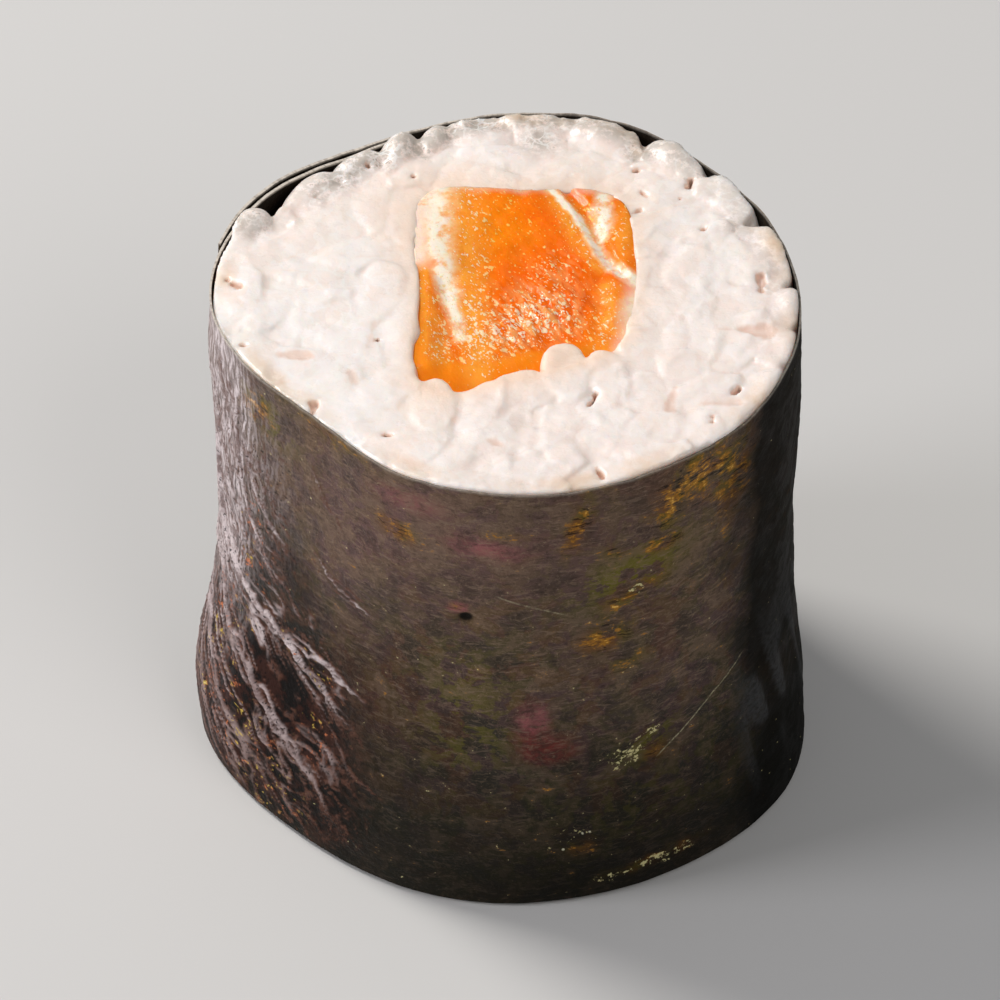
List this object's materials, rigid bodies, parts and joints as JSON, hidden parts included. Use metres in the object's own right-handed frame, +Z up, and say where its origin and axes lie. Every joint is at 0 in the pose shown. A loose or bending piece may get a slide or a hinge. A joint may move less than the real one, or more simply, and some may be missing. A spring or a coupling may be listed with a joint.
{
  "type": "salmon maki roll",
  "caption": "Thin sushi roll piece that stands on its cut end: a lapped seaweed sheet round rice, with a salmon baton through the middle.",
  "frame": {"origin": "middle of the outline seen from above, in the plane of the lower cut", "axes": "+Z up along the roll, out of the upper cut; -Y towards the side seen in front; +X to the right"},
  "size_m": [0.0327, 0.032, 0.0288],
  "materials": {
    "nori": "moist dark green-black seaweed with olive and brown mottling",
    "rice": "moist sticky white rice",
    "salmon": "moist raw salmon, orange with pale lines of fat"
  },
  "bodies": {
    "root": {"nori": "nori", "rice": "rice", "salmon": "salmon"}
  },
  "joints": []
}
